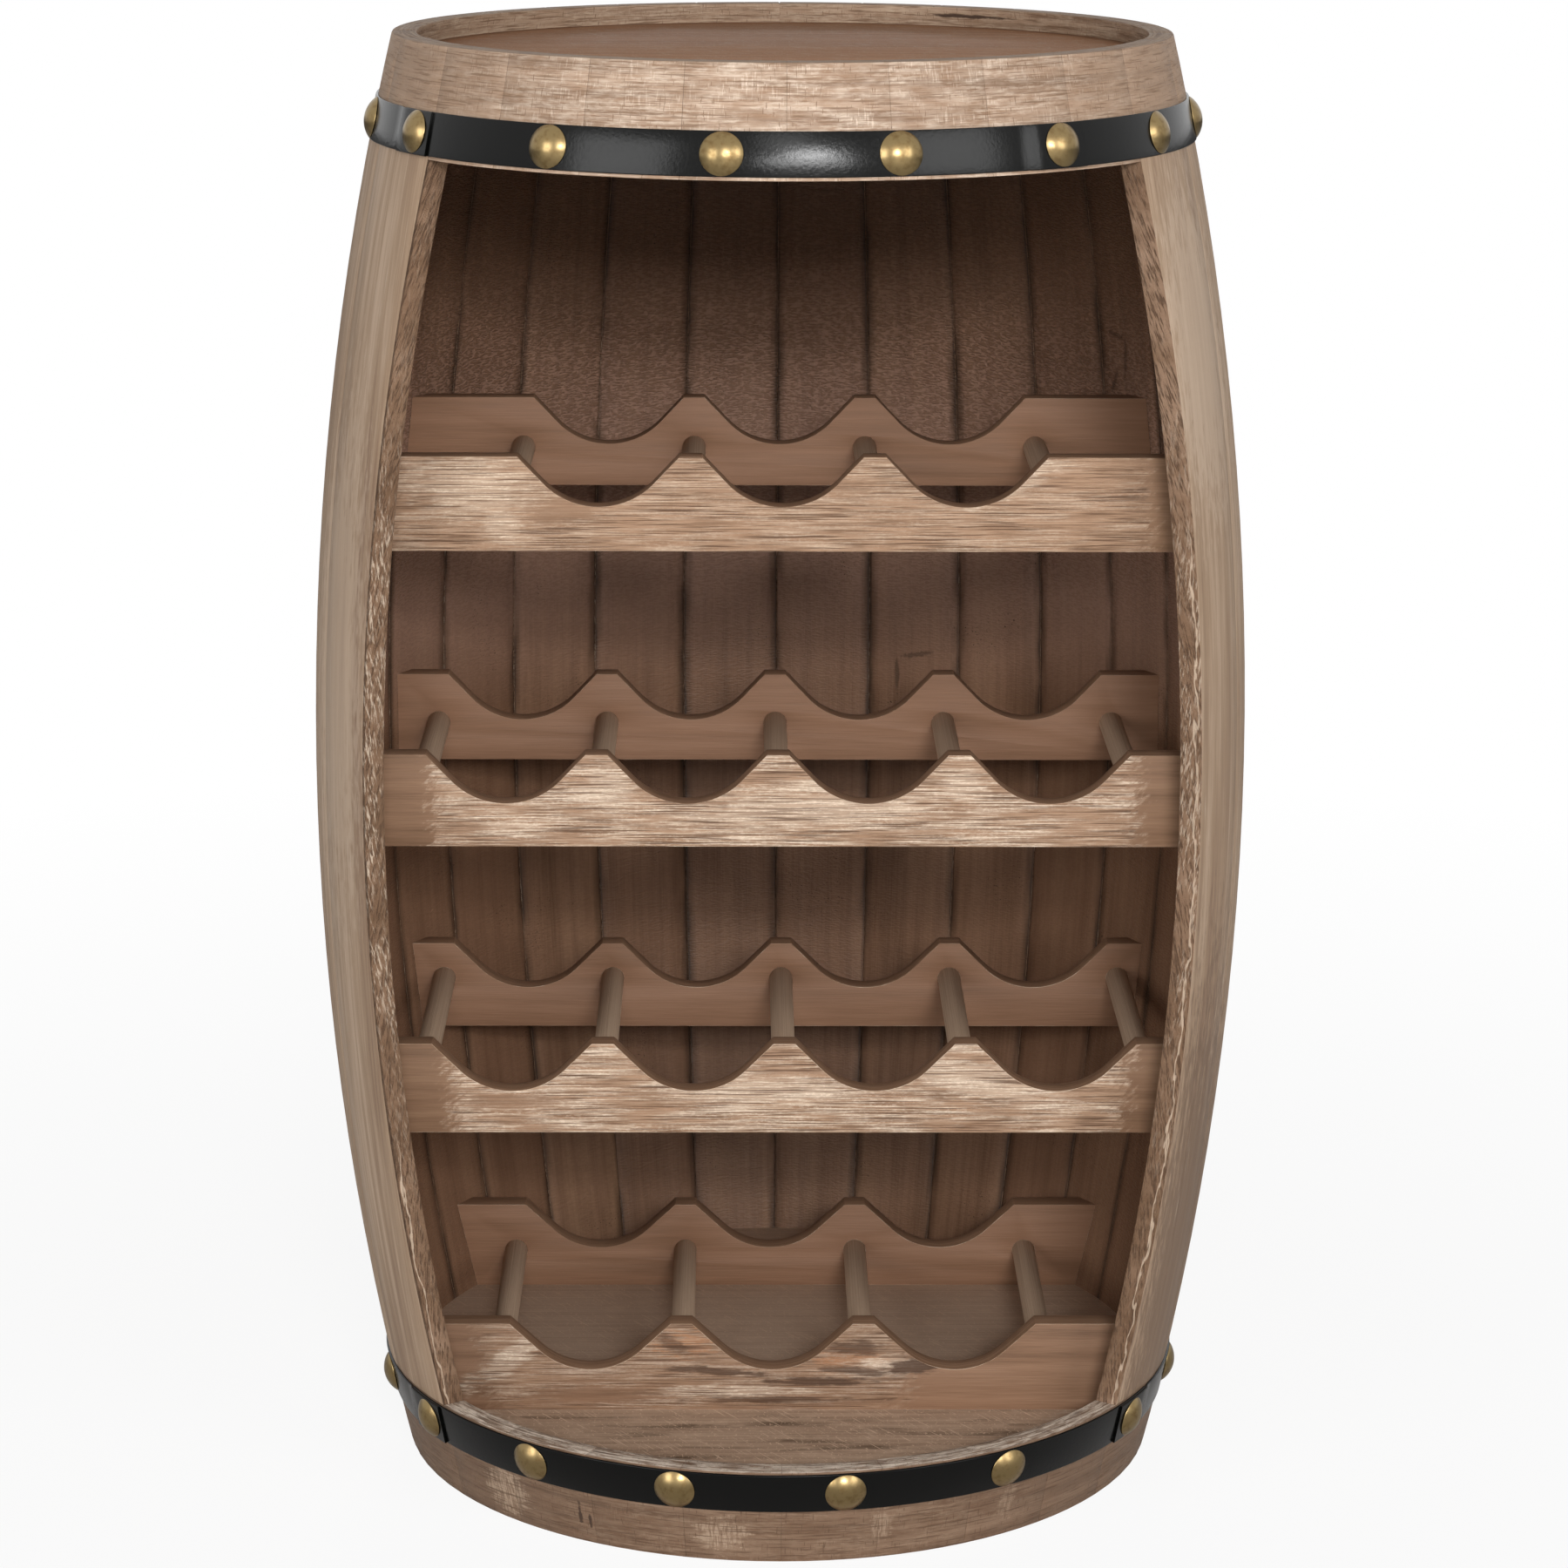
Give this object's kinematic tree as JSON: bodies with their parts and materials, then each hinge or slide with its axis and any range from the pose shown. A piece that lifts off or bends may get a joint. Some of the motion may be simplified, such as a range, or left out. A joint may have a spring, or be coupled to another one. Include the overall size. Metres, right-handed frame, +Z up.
{
  "type": "barrel wine rack",
  "caption": "Coopered wooden barrel with an open front, scalloped rails on tiers that cradle wine bottles, black steel hoops with dome nails and a recessed tray top.",
  "frame": {"origin": "on the barrel's axis, in the plane that the barrel stands on", "axes": "+Z up along the barrel's axis, -Y out of the open front, +X to the right as seen from the front"},
  "size_m": [0.52, 0.4875, 0.8],
  "materials": {
    "stave_wood": "weathered taupe stain with dry-brushed wear",
    "board_wood": "brown stain, lightly scuffed",
    "rail_wood": "brown stain with whitish dry-brushed wear",
    "dowel_wood": "grey-brown stain",
    "hoop_steel": "black satin paint",
    "nail_brass": "antique brass, dulled in the hollows"
  },
  "bodies": {
    "root": {"stave_01": "stave_wood", "stave_02": "stave_wood", "stave_03": "stave_wood", "stave_04": "stave_wood", "stave_05": "stave_wood", "stave_06": "stave_wood", "stave_07": "stave_wood", "stave_08": "stave_wood", "stave_09": "stave_wood", "stave_10": "stave_wood", "stave_11": "stave_wood", "stave_12": "stave_wood", "stave_13": "stave_wood", "stave_14": "stave_wood", "stave_15": "stave_wood", "stave_16": "stave_wood", "stave_17": "stave_wood", "stave_18": "stave_wood", "bottom_stave_1": "stave_wood", "bottom_stave_2": "stave_wood", "bottom_stave_3": "stave_wood", "bottom_stave_4": "stave_wood", "bottom_stave_5": "stave_wood", "bottom_stave_6": "stave_wood", "bottom_stave_7": "stave_wood", "bottom_stave_8": "stave_wood", "top_stave_1": "stave_wood", "top_stave_2": "stave_wood", "top_stave_3": "stave_wood", "top_stave_4": "stave_wood", "top_stave_5": "stave_wood", "top_stave_6": "stave_wood", "top_stave_7": "stave_wood", "top_stave_8": "stave_wood", "floor_board": "board_wood", "top_board": "board_wood", "upper_hoop_front": "hoop_steel", "upper_hoop_rear": "hoop_steel", "lower_hoop_front": "hoop_steel", "lower_hoop_rear": "hoop_steel", "upper_hoop_nails": "nail_brass", "lower_hoop_nails": "nail_brass", "tier_1_front_rail": "rail_wood", "tier_1_rear_rail": "rail_wood", "tier_1_dowels": "dowel_wood", "tier_2_front_rail": "rail_wood", "tier_2_rear_rail": "rail_wood", "tier_2_dowels": "dowel_wood", "tier_3_front_rail": "rail_wood", "tier_3_rear_rail": "rail_wood", "tier_3_dowels": "dowel_wood", "tier_4_front_rail": "rail_wood", "tier_4_rear_rail": "rail_wood", "tier_4_dowels": "dowel_wood"}
  },
  "joints": []
}
